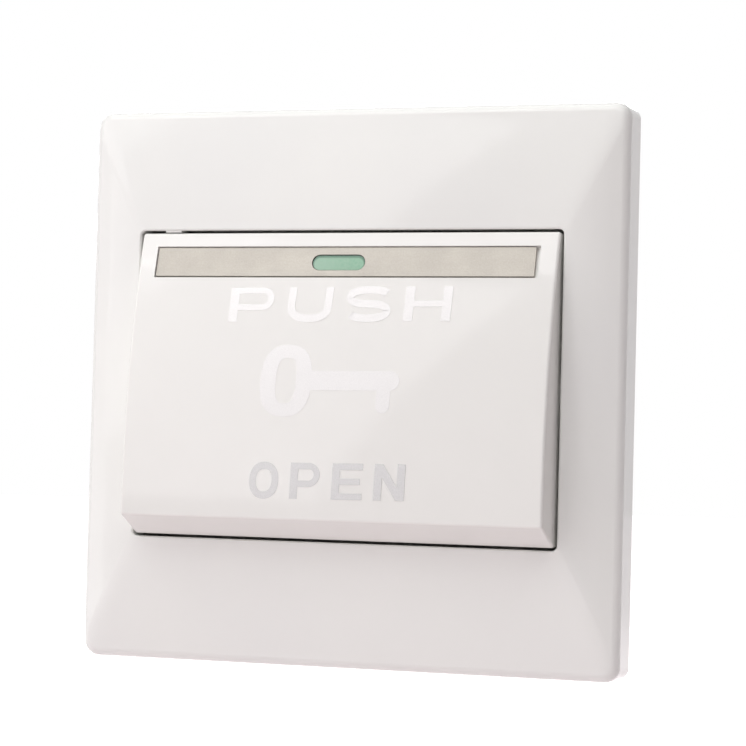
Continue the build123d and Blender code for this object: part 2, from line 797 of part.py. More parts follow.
terminal_screws = Compound(
    label="terminal_screws",
    children=[
        screw(
            x, 0, clamp_rear, terminal_screw_radius, terminal_screw_length,
            terminal_screw_head, terminal_screw_head_thick,
        )
        for x in (-clamp_x, clamp_x)
    ],
)
housing_screws = Compound(
    label="housing_screws",
    children=[
        screw(
            0, z, flange_thick, housing_screw_radius, flange_thick + housing_screw_reach,
            housing_screw_head, housing_screw_head_thick,
        )
        for z in (-tab_z, tab_z)
    ],
)

os.makedirs("parts", exist_ok=True)
finished = [
    outer_frame.part,
    mounting_plate.part,
    rocker_button.part,
    accent_strip.part,
    indicator_lens.part,
    plunger.part,
    contact_bridge.part,
    *contacts.values(),
    return_spring.part,
    contact_spring.part,
    switch_housing.part,
    *terminals.values(),
    *clamps.values(),
    terminal_screws,
    housing_screws,
]
for piece in finished:
    export_step(piece, f"parts/{piece.label}.step")
    print(piece.label, len(piece.solids()), round(piece.volume, 1))
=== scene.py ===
"""Looks of a door release button: moulded plastics, metals, silver print and springs in studio
light.

Lengths of the part are in millimetres and are turned to metres by MM. The studio's are in metres.
The frame is the part's own: +X right, +Z up, +Y into the wall, the origin in the middle of the
wall plate.
"""

from math import asin, atan2, cos, hypot, pi, radians, sin

import bpy
import numpy as np
from mathutils import Matrix, Vector


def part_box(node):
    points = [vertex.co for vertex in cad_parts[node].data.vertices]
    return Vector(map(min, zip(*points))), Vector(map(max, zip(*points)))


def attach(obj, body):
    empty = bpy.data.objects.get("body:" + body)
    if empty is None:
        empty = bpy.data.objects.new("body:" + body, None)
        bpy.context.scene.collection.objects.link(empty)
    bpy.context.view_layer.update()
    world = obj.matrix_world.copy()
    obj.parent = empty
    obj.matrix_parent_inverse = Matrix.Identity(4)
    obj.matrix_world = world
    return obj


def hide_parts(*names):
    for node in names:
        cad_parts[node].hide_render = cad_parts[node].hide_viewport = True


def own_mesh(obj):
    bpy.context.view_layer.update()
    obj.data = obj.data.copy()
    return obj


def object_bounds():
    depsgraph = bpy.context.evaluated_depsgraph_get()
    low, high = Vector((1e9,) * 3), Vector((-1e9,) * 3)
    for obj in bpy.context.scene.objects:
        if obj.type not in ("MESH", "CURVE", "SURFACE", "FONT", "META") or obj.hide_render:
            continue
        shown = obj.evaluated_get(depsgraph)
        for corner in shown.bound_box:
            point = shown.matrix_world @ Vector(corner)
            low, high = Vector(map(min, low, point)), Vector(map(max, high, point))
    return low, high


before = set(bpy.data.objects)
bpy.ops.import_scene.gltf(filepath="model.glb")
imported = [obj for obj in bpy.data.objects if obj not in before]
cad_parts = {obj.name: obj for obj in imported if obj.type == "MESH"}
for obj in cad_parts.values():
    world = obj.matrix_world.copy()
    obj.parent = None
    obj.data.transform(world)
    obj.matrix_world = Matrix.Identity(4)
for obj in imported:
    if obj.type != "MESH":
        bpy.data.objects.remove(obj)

cad_low, cad_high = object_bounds()

MM = 0.001
PHOTO_WIDTH = 746

# Camera, where the photograph was taken

AZIMUTH, ELEVATION, ROLL = radians(17.917), radians(-2.059), radians(1.510)
DISTANCE = 371.76
FOCAL_PIXELS = 2389.1
AIM = Vector((1.573, 0, 2.428))
SENSOR = 36.0

back = Vector((
    sin(AZIMUTH) * cos(ELEVATION), -cos(AZIMUTH) * cos(ELEVATION), sin(ELEVATION),
))
level_right = Vector((cos(AZIMUTH), sin(AZIMUTH), 0))
level_up = back.cross(level_right)
right = cos(ROLL) * level_right + sin(ROLL) * level_up
up = -sin(ROLL) * level_right + cos(ROLL) * level_up
camera_data = bpy.data.cameras.new("camera")
camera_data.sensor_width = SENSOR
camera_data.lens = FOCAL_PIXELS * SENSOR / PHOTO_WIDTH
camera_data.clip_start = 0.01
camera_data.clip_end = 20
camera = bpy.data.objects.new("camera", camera_data)
bpy.context.collection.objects.link(camera)
placed = Matrix((right, up, back)).transposed().to_4x4()
placed.translation = (AIM + DISTANCE * back) * MM
camera.matrix_world = placed
bpy.context.scene.camera = camera

# Colours and nodes


def linear(hex_colour):
    """Linear RGBA of an sRGB hex colour, such as #F0EEEE."""
    channels = [int(hex_colour[i : i + 2], 16) / 255 for i in (1, 3, 5)]
    curve = (c / 12.92 if c <= 0.04045 else ((c + 0.055) / 1.055) ** 2.4 for c in channels)
    return (*curve, 1.0)


def add(tree, kind, inputs=None, **settings):
    """Adds a node of a kind, sets its properties, and fills or links its inputs by name or
    number."""
    node = tree.nodes.new(kind)
    for key, value in settings.items():
        setattr(node, key, value)
    for key, value in (inputs or {}).items():
        if isinstance(value, bpy.types.NodeSocket):
            tree.links.new(value, node.inputs[key])
        else:
            node.inputs[key].default_value = value
    return node


def empty_material(name):
    """A material with no nodes yet; gives the material and its node tree."""
    material = bpy.data.materials.new(name)
    material.use_nodes = True
    material.node_tree.nodes.clear()
    return material, material.node_tree


def two_tones(tree, pattern, first, second, low=0.3, high=0.7):
    """Colour that goes from a first to a second tone while a pattern goes from low to high."""
    share = add(tree, "ShaderNodeMapRange", {"Value": pattern, "From Min": low, "From Max": high})
    colour = add(
        tree, "ShaderNodeMix",
        {"Factor": share.outputs["Result"], "A": linear(first), "B": linear(second)},
        data_type="RGBA",
    )
    return colour.outputs["Result"]


def seen_as_white(tree):
    """1 where the eye meets a thing directly, in a gloss or through glass, and 0 where it only
    sends light."""
    ray = add(tree, "ShaderNodeLightPath").outputs
    direct = add(
        tree, "ShaderNodeMath",
        {0: ray["Is Camera Ray"], 1: ray["Is Glossy Ray"]}, operation="MAXIMUM",
    )
    any_way = add(
        tree, "ShaderNodeMath",
        {0: direct.outputs["Value"], 1: ray["Is Transmission Ray"]}, operation="MAXIMUM",
    )
    return any_way.outputs["Value"]


# Plastics


def gloss_abs(name, body, shade):
    """White gloss ABS from a polished mould. The eye sees a clear hard sheen that swims a little
    over the wide faces, and a body colour that drifts by a hair where the melt cooled unevenly.
    """
    material, tree = empty_material(name)
    place = add(tree, "ShaderNodeTexCoord").outputs["Object"]
    # Cooling drift, 25 mm across
    drift = add(
        tree, "ShaderNodeTexNoise", {"Vector": place, "Scale": 1 / (25 * MM), "Detail": 2.0}
    )
    colour = two_tones(tree, drift.outputs["Fac"], body, shade)
    # Haze from handling, 4 mm across
    haze = add(tree, "ShaderNodeTexNoise", {"Vector": place, "Scale": 1 / (4 * MM), "Detail": 4.0})
    rough = add(
        tree, "ShaderNodeMapRange", {"Value": haze.outputs["Fac"], "To Min": 0.03, "To Max": 0.08}
    )
    # Flow ripple, 7 mm across and 10 micrometres deep
    ripple = add(
        tree, "ShaderNodeTexNoise", {"Vector": place, "Scale": 1 / (7 * MM), "Detail": 1.0}
    )
    relief = add(
        tree, "ShaderNodeBump",
        {"Height": ripple.outputs["Fac"], "Distance": 0.01 * MM, "Strength": 0.5},
    )
    shader = add(
        tree, "ShaderNodeBsdfPrincipled",
        {
            "Base Color": colour, "Roughness": rough.outputs["Result"],
            "Normal": relief.outputs["Normal"], "IOR": 1.53,
        },
    )
    add(tree, "ShaderNodeOutputMaterial", {"Surface": shader.outputs["BSDF"]})
    return material


def satin_abs():
    """Off-white ABS from a spark-eroded mould. The eye sees no gloss, a slow drift of colour and an
    even fine grain. The real grain is near 0.05 mm and is drawn at 0.25 mm, so that it shows."""
    material, tree = empty_material("moulded_ABS_satin")
    place = add(tree, "ShaderNodeTexCoord").outputs["Object"]
    drift = add(tree, "ShaderNodeTexNoise", {"Vector": place, "Scale": 1 / (9 * MM), "Detail": 3.0})
    colour = two_tones(tree, drift.outputs["Fac"], "#E4E2DC", "#DDDAD4")
    grain = add(
        tree, "ShaderNodeTexNoise", {"Vector": place, "Scale": 1 / (0.25 * MM), "Detail": 3.0}
    )
    rough = add(
        tree, "ShaderNodeMapRange", {"Value": grain.outputs["Fac"], "To Min": 0.4, "To Max": 0.6}
    )
    relief = add(
        tree, "ShaderNodeBump",
        {"Height": grain.outputs["Fac"], "Distance": 0.02 * MM, "Strength": 0.7},
    )
    shader = add(
        tree, "ShaderNodeBsdfPrincipled",
        {
            "Base Color": colour, "Roughness": rough.outputs["Result"],
            "Normal": relief.outputs["Normal"], "IOR": 1.53,
        },
    )
    add(tree, "ShaderNodeOutputMaterial", {"Surface": shader.outputs["BSDF"]})
    return material


# Where the lens's painted edge shade starts, as a share of its half height
RIM_SHADE_START = 0.72


def afterglow_acrylic(middle, half_long, half_tall):
    """Pale green afterglow acrylic, cast with pigment. The eye sees soft grains of pigment in a
    clear body, a paler middle, a darker edge all round, which is painted shade where the window's
    edge shades it, and a greener right end."""
    material, tree = empty_material("afterglow_acrylic_green")
    place = add(tree, "ShaderNodeTexCoord").outputs["Object"]
    centred = add(
        tree, "ShaderNodeMapping",
        {"Vector": place, "Location": [-middle.x, -middle.y, -middle.z]},
    )
    split = add(tree, "ShaderNodeSeparateXYZ", {"Vector": centred.outputs["Vector"]})
    # Distance from the window's middle line: across it, and past its ends
    along = add(tree, "ShaderNodeMath", {0: split.outputs["X"]}, operation="ABSOLUTE")
    past = add(
        tree, "ShaderNodeMath",
        {0: along.outputs["Value"], 1: half_long - half_tall}, operation="SUBTRACT",
    )
    clear = add(tree, "ShaderNodeMath", {0: past.outputs["Value"], 1: 0.0}, operation="MAXIMUM")
    flat = add(tree, "ShaderNodeCombineXYZ", {"X": clear.outputs["Value"], "Y": split.outputs["Z"]})
    off = add(tree, "ShaderNodeVectorMath", {0: flat.outputs["Vector"]}, operation="LENGTH")
    # Painted shade: the colour darkens towards the window's edge, all round
    edge_shade = add(
        tree, "ShaderNodeMapRange",
        {"Value": off.outputs["Value"], "From Min": RIM_SHADE_START * half_tall, "From Max": half_tall},
        interpolation_type="SMOOTHSTEP",
    )
    # Greener towards the right end, more so in the grains
    end = add(
        tree, "ShaderNodeMapRange",
        {"Value": split.outputs["X"], "From Min": -half_long, "From Max": half_long},
    )
    grains = add(
        tree, "ShaderNodeTexNoise", {"Vector": place, "Scale": 1 / (0.4 * MM), "Detail": 3.0}
    )
    greener_share = add(
        tree, "ShaderNodeMath",
        {0: end.outputs["Result"], 1: grains.outputs["Fac"]}, operation="MULTIPLY",
    )
    body = add(
        tree, "ShaderNodeMix",
        {"Factor": greener_share.outputs["Value"], "A": linear("#9CBFA8"), "B": linear("#75AF8C")},
        data_type="RGBA",
    )
    # Mixes the painted edge shade over the body colour
    colour = add(
        tree, "ShaderNodeMix",
        {"Factor": edge_shade.outputs["Result"], "A": body.outputs["Result"], "B": linear("#5E8570")},
        data_type="RGBA",
    )
    rough = add(
        tree, "ShaderNodeMapRange", {"Value": grains.outputs["Fac"], "To Min": 0.16, "To Max": 0.3}
    )
    shader = add(
        tree, "ShaderNodeBsdfPrincipled",
        {"Base Color": colour.outputs["Result"], "Roughness": rough.outputs["Result"], "IOR": 1.49},
    )
    add(tree, "ShaderNodeOutputMaterial", {"Surface": shader.outputs["BSDF"]})
    return material


# Metals


def anodised_champagne():
    """Anodised aluminium, bead blasted and dyed champagne. The eye sees a warm grey that glitters
    in grains, with faint clouds and hairline rubs along its length. The real grit leaves dents
    near 0.05 mm, drawn at 0.22 mm so that they show."""
    material, tree = empty_material("anodised_aluminium_champagne")
    place = add(tree, "ShaderNodeTexCoord").outputs["Object"]
    grain = add(
        tree, "ShaderNodeTexNoise", {"Vector": place, "Scale": 1 / (0.22 * MM), "Detail": 5.0}
    )
    clouds = add(
        tree, "ShaderNodeTexNoise", {"Vector": place, "Scale": 1 / (5 * MM), "Detail": 2.0}
    )
    # Rubs: noise 0.12 mm across, drawn out 40 times along X
    drawn = add(tree, "ShaderNodeMapping", {"Vector": place, "Scale": (0.025, 1, 1)})
    rubs = add(
        tree, "ShaderNodeTexNoise",
        {"Vector": drawn.outputs["Vector"], "Scale": 1 / (0.12 * MM), "Detail": 2.0},
    )
    both = add(
        tree, "ShaderNodeMath",
        {0: grain.outputs["Fac"], 1: clouds.outputs["Fac"]}, operation="ADD",
    )
    # The sum of two patterns, so its range is twice as wide
    colour = two_tones(tree, both.outputs["Value"], "#96918A", "#A6A199", 0.6, 1.4)
    rough = add(
        tree, "ShaderNodeMapRange", {"Value": rubs.outputs["Fac"], "To Min": 0.34, "To Max": 0.56}
    )
    relief = add(
        tree, "ShaderNodeBump",
        {"Height": grain.outputs["Fac"], "Distance": 0.012 * MM, "Strength": 0.6},
    )
    shader = add(
        tree, "ShaderNodeBsdfPrincipled",
        {
            "Base Color": colour, "Roughness": rough.outputs["Result"],
            "Normal": relief.outputs["Normal"], "Metallic": 0.7,
        },
    )
    add(tree, "ShaderNodeOutputMaterial", {"Surface": shader.outputs["BSDF"]})
    return material


def stamped_metal(name, pale, dark, smooth, dull, grain_mm, stretch):
    """Metal of a small stamping, screw or wire. The eye sees its colour in two tones, cloudy where
    rolled or plated and drawn out along X where stretch is under 1, and a polish that varies with
    them."""
    material, tree = empty_material(name)
    place = add(tree, "ShaderNodeTexCoord").outputs["Object"]
    drawn = add(tree, "ShaderNodeMapping", {"Vector": place, "Scale": (stretch, 1, 1)})
    grain = add(
        tree, "ShaderNodeTexNoise",
        {"Vector": drawn.outputs["Vector"], "Scale": 1 / (grain_mm * MM), "Detail": 4.0},
    )
    colour = two_tones(tree, grain.outputs["Fac"], dark, pale)
    rough = add(
        tree, "ShaderNodeMapRange",
        {"Value": grain.outputs["Fac"], "To Min": smooth, "To Max": dull},
    )
    relief = add(
        tree, "ShaderNodeBump",
        {"Height": grain.outputs["Fac"], "Distance": 0.004 * MM, "Strength": 0.5},
    )
    shader = add(
        tree, "ShaderNodeBsdfPrincipled",
        {
            "Base Color": colour, "Roughness": rough.outputs["Result"],
            "Normal": relief.outputs["Normal"], "Metallic": 1.0,
        },
    )
    add(tree, "ShaderNodeOutputMaterial", {"Surface": shader.outputs["BSDF"]})
    return material


def silver_ink(name, thin, thick, flakes):
    """Silver ink, screen printed. The eye sees metal flakes in a satin binder, more mirror-like
    the more of them there are, in two tones where it lies thin and thick. Real flakes are near
    0.02 mm and are drawn at 0.16 mm, so that they show."""
    material, tree = empty_material(name)
    place = add(tree, "ShaderNodeTexCoord").outputs["Object"]
    flake = add(
        tree, "ShaderNodeTexNoise", {"Vector": place, "Scale": 1 / (0.16 * MM), "Detail": 4.0}
    )
    colour = two_tones(tree, flake.outputs["Fac"], thin, thick)
    rough = add(
        tree, "ShaderNodeMapRange", {"Value": flake.outputs["Fac"], "To Min": 0.3, "To Max": 0.44}
    )
    relief = add(
        tree, "ShaderNodeBump",
        {"Height": flake.outputs["Fac"], "Distance": 0.006 * MM, "Strength": 0.6},
    )
    shader = add(
        tree, "ShaderNodeBsdfPrincipled",
        {
            "Base Color": colour, "Roughness": rough.outputs["Result"],
            "Normal": relief.outputs["Normal"], "Metallic": flakes,
        },
    )
    add(tree, "ShaderNodeOutputMaterial", {"Surface": shader.outputs["BSDF"]})
    return material


# Finishes on the nodes

zinc_plated_steel = stamped_metal("steel_zinc_plated", "#DAD9D4", "#B8B6B0", 0.22, 0.38, 0.6, 1)
cold_rolled_brass = stamped_metal("brass_cold_rolled", "#DDBD78", "#BC9750", 0.24, 0.42, 0.3, 0.2)
silver_alloy = stamped_metal("silver_alloy_pressed", "#E8E6E3", "#CAC7C3", 0.2, 0.34, 0.3, 1)
drawn_spring_wire = stamped_metal("spring_steel_drawn", "#ACACAB", "#818182", 0.25, 0.4, 0.2, 1)
spark_eroded_abs = satin_abs()
lens_low, lens_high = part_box("indicator_lens")
LENS_HALF_LONG, LENS_HALF_TALL = 4.15 * MM, 1.175 * MM

finishes = {
    "outer_frame": gloss_abs("ABS_gloss_frame", "#F1F2EE", "#EEEFEC"),
    "rocker_button": gloss_abs("ABS_gloss_rocker", "#F1F1ED", "#EEEEEA"),
    "mounting_plate": spark_eroded_abs,
    "switch_housing": spark_eroded_abs,
    "plunger": spark_eroded_abs,
    "accent_strip": anodised_champagne(),
    "indicator_lens": afterglow_acrylic(
        (lens_low + lens_high) / 2, LENS_HALF_LONG, LENS_HALF_TALL
    ),
    "contact_bridge": cold_rolled_brass,
    "terminal_common": cold_rolled_brass,
    "terminal_open": cold_rolled_brass,
    "moving_contact_left": silver_alloy,
    "moving_contact_right": silver_alloy,
    "fixed_contact_left": silver_alloy,
    "fixed_contact_right": silver_alloy,
    "clamp_washer_left": zinc_plated_steel,
    "clamp_washer_right": zinc_plated_steel,
    "terminal_screws": zinc_plated_steel,
    "housing_screws": zinc_plated_steel,
    "return_spring": drawn_spring_wire,
    "contact_spring": drawn_spring_wire,
}
for node, finish in finishes.items():
    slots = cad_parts[node].data.materials
    if len(slots) == 0:
        slots.append(finish)
    for index in range(len(slots)):
        slots[index] = finish

# The rocker's face, in the part's own sizes: an arc about a line along X, from its lower ridge up
# to its top edge

FACE_TOP_HEIGHT, FACE_TOP_Z = 10.05, 23.35
RIDGE_HEIGHT, RIDGE_Z = 16.7, -20.3
FACE_BULGE = 1.7
face_rise, face_run = RIDGE_HEIGHT - FACE_TOP_HEIGHT, FACE_TOP_Z - RIDGE_Z
face_tilt, face_long = atan2(face_rise, face_run), hypot(face_run, face_rise)
ARC_RADIUS = (face_long**2 / 4 + FACE_BULGE**2) / (2 * FACE_BULGE)
ARC_HEIGHT = (RIDGE_HEIGHT + FACE_TOP_HEIGHT) / 2 + (FACE_BULGE - ARC_RADIUS) * cos(face_tilt)
ARC_Z = (RIDGE_Z + FACE_TOP_Z) / 2 + (FACE_BULGE - ARC_RADIUS) * sin(face_tilt)
RIDGE_LEAN = face_tilt - asin(face_long / 2 / ARC_RADIUS)

# Ink: how far it goes under the face and over it, how much prouder each level is, how far apart
# the points of a stroke are, and how a rounded end is stepped

INK_SUNK, INK_PROUD, INK_STEP = 0.02, 0.03, 0.004
INK_STOP = 0.5
CAP_POINTS, CAP_TIP = 9, 0.001
INK_TURN, INK_LEAN = radians(0.6), radians(2)


def on_face(across, along, lift):
    """A point of the rocker's face in metres: along it from the ridge is an angle, which is the
    way along over the arc's radius, and the lift off the face is added to that radius."""
    lean = RIDGE_LEAN + along / ARC_RADIUS
    reach = ARC_RADIUS + lift
    depth, height = -ARC_HEIGHT - reach * np.cos(lean), ARC_Z + reach * np.sin(lean)
    return np.stack([across, depth, height], -1) * MM


def wrapped_quads(rows, columns, closed):
    """Quads between the rows of a grid whose columns wrap round. A closed tube's rows wrap as well,
    and an open one gets a flat face over each end."""
    steps = rows if closed else rows - 1
    i, j = np.meshgrid(np.arange(steps), np.arange(columns), indexing="ij")
    i, j = i.ravel(), j.ravel()
    here, ahead, beside = i * columns, (i + 1) % rows * columns, (j + 1) % columns
    quads = np.stack([here + j, here + beside, ahead + beside, ahead + j], 1).tolist()
    if closed:
        return quads
    first = list(range(columns))[::-1]
    last = list(range((rows - 1) * columns, rows * columns))
    return [*quads, first, last]


def mesh_piece(name, spots, faces, material, body, smooth):
    """A mesh piece from points in metres, which rides on a body."""
    mesh = bpy.data.meshes.new(name)
    mesh.from_pydata(spots.tolist(), [], faces)
    mesh.polygons.foreach_set("use_smooth", np.full(len(mesh.polygons), smooth))
    mesh.materials.append(material)
    mesh.update()
    piece = bpy.data.objects.new(name, mesh)
    bpy.context.collection.objects.link(piece)
    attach(piece, body)
    return piece


def ink_stroke(level, path, width, closed=False, rounded=()):
    """A slab of ink whose middle follows a path of (across, along) points. At each point it spans
    half its width to both sides, square to the path, from a little under the face to a little over
    it. A rounded end narrows the width by the root of 1 - (1 - s)**2, where s is the way from the
    end over half the width. Higher levels stand a hair prouder, where strokes cross."""
    path = np.asarray(path, float)
    if closed:
        run = np.roll(path, -1, 0) - np.roll(path, 1, 0)
    else:
        gone = np.append(0, np.cumsum(np.linalg.norm(np.diff(path, axis=0), axis=1)))
        long, cap = gone[-1], width / 2
        ends = cap * (1 - np.cos(np.linspace(0, pi / 2, CAP_POINTS)))
        stops = np.concatenate([np.arange(0, long, INK_STOP), gone, ends, long - ends])
        stops = np.unique(stops.round(3))
        path = np.column_stack([np.interp(stops, gone, path[:, axis]) for axis in (0, 1)])
        run = np.gradient(path, axis=0)
        near = {"start": stops / cap, "end": (long - stops) / cap}
        width = np.full(len(stops), float(width))
        for end in rounded:
            width *= np.sqrt(1 - (1 - np.clip(near[end], CAP_TIP, 1)) ** 2)
    run /= np.linalg.norm(run, axis=1)[:, None]
    reach = np.column_stack([-run[:, 1], run[:, 0]]) * np.reshape(width, (-1, 1)) / 2
    proud = INK_PROUD + INK_STEP * level
    near_edge, far_edge = path - reach, path + reach
    corners = [
        (far_edge, -INK_SUNK), (far_edge, proud), (near_edge, proud), (near_edge, -INK_SUNK),
    ]
    spots = np.stack([on_face(edge[:, 0], edge[:, 1], lift) for edge, lift in corners], 1)
    return spots.reshape(-1, 3), wrapped_quads(len(path), len(corners), closed)


def print_piece(name, strokes, material):
    """Joins strokes of ink to one piece on the rocker, each a level above the last. The screen was
    set a little askew, so the strokes are turned about the mean of their points, and their uprights
    lean right."""
    spots, faces, start = [], [], 0
    middle = np.concatenate([stroke["path"] for stroke in strokes]).mean(0)
    askew = np.array([
        [cos(INK_TURN), sin(INK_TURN)], [-sin(INK_TURN - INK_LEAN), cos(INK_TURN)],
    ])
    for level, stroke in enumerate(strokes):
        turned = (np.asarray(stroke["path"], float) - middle) @ askew + middle
        more, quads = ink_stroke(level, **{**stroke, "path": turned})
        spots.append(more)
        faces += [[corner + start for corner in quad] for quad in quads]
        start += len(more)
    spots = np.concatenate(spots)
    return mesh_piece(name, spots, faces, material, "rocker", False)


def bow(centre, half_wide, half_tall, start, end, power=2.0, points=40):
    """Points along a superellipse, from a start to an end angle in degrees: across and along are
    the cosine and sine of the angle, each raised to 2 over the power with its sign kept."""
    angle = np.radians(np.linspace(start, end, points))
    across = np.sign(np.cos(angle)) * np.abs(np.cos(angle)) ** (2 / power)
    along = np.sign(np.sin(angle)) * np.abs(np.sin(angle)) ** (2 / power)
    return np.column_stack([centre[0] + half_wide * across, centre[1] + half_tall * along])


# Letters and key: where a P's bowl ends and a U's bend starts, as shares of the height, how far an
# E's middle arm reaches, as a share of the width, the angles in degrees that an S starts and ends
# at, how square each bend is, where 2 is an ellipse, and how many points the closed rings have

P_KNEE, U_BEND, E_ARM = 0.42, 0.46, 0.92
S_START, S_END = 25, -155
U_SQUARE, S_SQUARE, O_SQUARE, KEY_SQUARE = 2.5, 2.4, 2.3, 2.7
RING_POINTS, KEY_POINTS = 73, 97


def letter_strokes(letter, x, y, wide, tall, stem, bar):
    """Strokes of one wide sans capital in a cell at (x, y): uprights are stem wide and level
    strokes bar wide."""
    left, right = x + stem / 2, x + wide - stem / 2
    low, high, middle = y + bar / 2, y + tall - bar / 2, y + tall / 2
    half, centre = (right - left) / 2, x + wide / 2
    between = (stem + bar) / 2
    upright_left = {"path": [(left, y), (left, y + tall)], "width": stem}
    upright_right = {"path": [(right, y), (right, y + tall)], "width": stem}
    if letter == "P":
        knee = y + P_KNEE * tall
        radius = (high - knee) / 2
        turn = bow((right - radius, (high + knee) / 2), radius, radius, 90, -90)
        return [upright_left, {"path": [(left, high), *turn, (left, knee)], "width": bar}]
    if letter == "U":
        reach = U_BEND * tall
        turn = bow((centre, y + reach), half, reach - bar / 2, 180, 360, U_SQUARE)
        return [{"path": [(left, y + tall), *turn, (right, y + tall)], "width": between}]
    if letter == "S":
        upper = bow(
            (centre, (high + middle) / 2), half, (high - middle) / 2, S_START, 270, S_SQUARE
        )
        lower = bow((centre, (low + middle) / 2), half, (middle - low) / 2, 90, S_END, S_SQUARE)
        return [{"path": np.concatenate([upper, lower[1:]]), "width": between}]
    if letter == "H":
        across = {"path": [(left, middle), (right, middle)], "width": bar}
        return [upright_left, upright_right, across]
    if letter == "O":
        ring = bow(
            (centre, middle), half, (high - low) / 2, 0, 360, O_SQUARE, RING_POINTS
        )[:-1]
        return [{"path": ring, "width": between, "closed": True}]
    if letter == "E":
        arms = ((high, wide), (middle, E_ARM * wide), (low, wide))
        return [
            upright_left,
            *({"path": [(left, level), (x + reach, level)], "width": bar} for level, reach in arms),
        ]
    # The slant of an N stops short, so that its corners end level with the uprights
    short = stem / 2 * (right - left) / hypot(right - left, tall) / tall
    reach, drop = short * (right - left), short * tall
    ends = [(left + reach, y + tall - drop), (right - reach, y + drop)]
    return [upright_left, upright_right, {"path": ends, "width": stem}]


def word_strokes(word, left, right, y, tall, stem, bar, gap):
    """Strokes of a word whose letters share the way from left to right evenly."""
    wide = (right - left - gap * (len(word) - 1)) / len(word)
    strokes = []
    for place, letter in enumerate(word):
        strokes += letter_strokes(letter, left + place * (wide + gap), y, wide, tall, stem, bar)
    return strokes


# Print on the rocker: a plain word, a plain key and a plain word

LETTER_TALL, LETTER_BAR = 5.4, 0.95
UPPER_LEFT, UPPER_RIGHT, UPPER_BASE, UPPER_STEM, UPPER_GAP = -17.45, 17.8, 30.1, 1.42, 2.0
LOWER_LEFT, LOWER_RIGHT, LOWER_BASE, LOWER_STEM, LOWER_GAP = -12.25, 12.3, 3.1, 1.22, 1.8
BOW_LEFT, BOW_RIGHT, BOW_LOW, BOW_HIGH = -11.35, -3.15, 15.4, 26.4
BOW_BESIDE, BOW_ABOVE = 2.5, 2.05
SHANK_MIDDLE, SHANK_TALL, SHANK_END = 20.9, 2.95, 10.65
BIT_X, BIT_WIDE, BIT_END = 8.3, 2.15, 16.0

bow_centre = ((BOW_LEFT + BOW_RIGHT) / 2, (BOW_LOW + BOW_HIGH) / 2)
bow_ring = bow(
    bow_centre, (BOW_RIGHT - BOW_LEFT - BOW_BESIDE) / 2, (BOW_HIGH - BOW_LOW - BOW_ABOVE) / 2,
    0, 360, KEY_SQUARE, KEY_POINTS,
)[:-1]
off_centre = np.abs(bow_ring[:, 0] - bow_centre[0])
beside = off_centre / off_centre.max()
key_strokes = [
    {"path": bow_ring, "width": BOW_ABOVE + (BOW_BESIDE - BOW_ABOVE) * beside**2, "closed": True},
    {
        "path": [(BOW_RIGHT - BOW_BESIDE / 2, SHANK_MIDDLE), (SHANK_END, SHANK_MIDDLE)],
        "width": SHANK_TALL, "rounded": ["end"],
    },
    {"path": [(BIT_X, SHANK_MIDDLE), (BIT_X, BIT_END)], "width": BIT_WIDE, "rounded": ["end"]},
]
pearl_ink = silver_ink("screen_ink_pearl_silver", "#DFDEDD", "#E7E6E5", 0.2)
grey_ink = silver_ink("screen_ink_grey_silver", "#BBBABA", "#C7C6C6", 0.5)
upper_strokes = word_strokes(
    "PUSH", UPPER_LEFT, UPPER_RIGHT, UPPER_BASE, LETTER_TALL, UPPER_STEM, LETTER_BAR, UPPER_GAP
)
lower_strokes = word_strokes(
    "OPEN", LOWER_LEFT, LOWER_RIGHT, LOWER_BASE, LETTER_TALL, LOWER_STEM, LETTER_BAR, LOWER_GAP
)
print_piece("print_upper_word", upper_strokes, pearl_ink)
print_piece("print_key", key_strokes, pearl_ink)
print_piece("print_lower_word", lower_strokes, grey_ink)

# Springs with round wire and closed ends, over the plain ones. The turns that close up have a
# pitch of a little over the wire's thickness, which is given in radii of the wire.

STEPS_A_TURN, WIRE_SIDES = 48, 14
CLOSED_TURNS, CLOSED_PITCH = 0.75, 2.05


def coil(name, radius, wire, turns, low, high, body):
    """A compression spring about the plunger's axis. The wire's middle circles at a fixed radius
    while its depth runs from low to high: slowly over the first and last three quarters of a turn,
    which close up, and evenly between. A circle of the wire's radius is carried along, square to
    the run."""
    share = np.linspace(0, 1, int(turns * STEPS_A_TURN) + 1)
    angle = 2 * pi * turns * share
    dead = CLOSED_TURNS / turns
    settle = wire * CLOSED_PITCH * CLOSED_TURNS
    shut = (np.clip(share / dead, 0, 1) + np.clip((share - 1 + dead) / dead, 0, 1)) * settle
    open_share = np.clip((share - dead) / (1 - 2 * dead), 0, 1)
    depth = low + shut + (high - low - 2 * settle) * open_share
    centre = np.column_stack([radius * np.cos(angle), depth, radius * np.sin(angle)])
    run = np.gradient(centre, axis=0)
    run /= np.linalg.norm(run, axis=1)[:, None]
    out = np.column_stack([np.cos(angle), np.zeros_like(angle), np.sin(angle)])
    side = np.cross(run, out)
    turn = np.linspace(0, 2 * pi, WIRE_SIDES, endpoint=False)[None, :, None]
    ring = out[:, None] * np.cos(turn) + side[:, None] * np.sin(turn)
    spots = (centre[:, None] + wire * ring).reshape(-1, 3) * MM
    faces = wrapped_quads(len(share), WIRE_SIDES, False)
    return mesh_piece(name, spots, faces, drawn_spring_wire, body, True)


